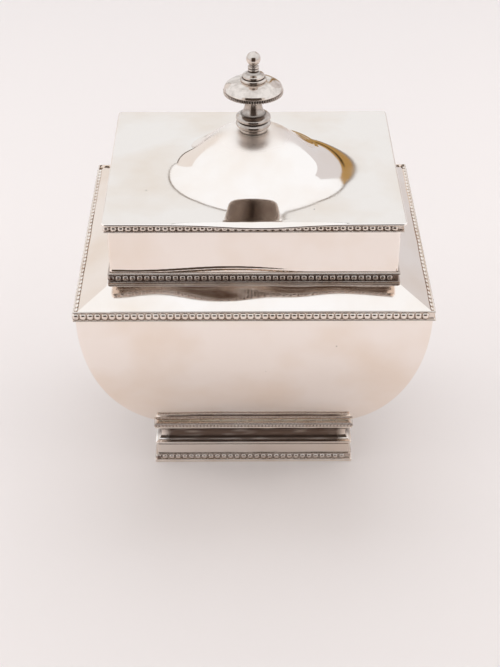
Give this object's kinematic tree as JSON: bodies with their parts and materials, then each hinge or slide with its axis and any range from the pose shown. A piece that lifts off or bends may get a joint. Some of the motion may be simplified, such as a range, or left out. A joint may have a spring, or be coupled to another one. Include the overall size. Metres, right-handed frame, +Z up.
{
  "type": "covered sugar bowl",
  "caption": "Rectangular casket-shaped silver sugar bowl on a low foot, with pearl borders, a domed pull-off cap lid and a turned finial to lift it by.",
  "frame": {"origin": "centre of the foot's underside, on the surface the bowl stands on", "axes": "+Z up through the finial, +X to the right, front towards -Y"},
  "size_m": [0.12, 0.104, 0.1494],
  "materials": {
    "polished_silver": "hand-polished sheet silver, mirror bright with faint planishing waves",
    "border_silver": "struck pearl wire, bright on the pearls and tarnished between them",
    "aged_silver": "turned and polished, with darker tarnish in the grooves",
    "stud_steel": "plain turned steel"
  },
  "bodies": {
    "bowl": {"foot_plinth": "polished_silver", "foot_bead_border": "border_silver", "foot_band": "polished_silver", "foot_cove": "polished_silver", "foot_top_border": "border_silver", "bowl_floor": "polished_silver", "bowl_front_panel": "polished_silver", "bowl_back_panel": "polished_silver", "bowl_left_panel": "polished_silver", "bowl_right_panel": "polished_silver", "waist_bead_border": "border_silver", "shoulder": "polished_silver", "neck": "polished_silver"},
    "lid": {"lid_band": "polished_silver", "lid_lower_border": "border_silver", "lid_upper_border": "border_silver", "lid_top_plate": "polished_silver", "finial_base": "aged_silver", "finial_disc": "aged_silver", "finial_bead_ring": "aged_silver", "finial_knop": "aged_silver", "finial_stud": "stud_steel", "finial_washer": "stud_steel", "finial_nut": "stud_steel"}
  },
  "joints": [
    {"name": "lid_lift", "type": "slide", "parent": "bowl", "child": "lid", "axis": [0, 0, 1], "range_m": [0, 0.06]}
  ]
}
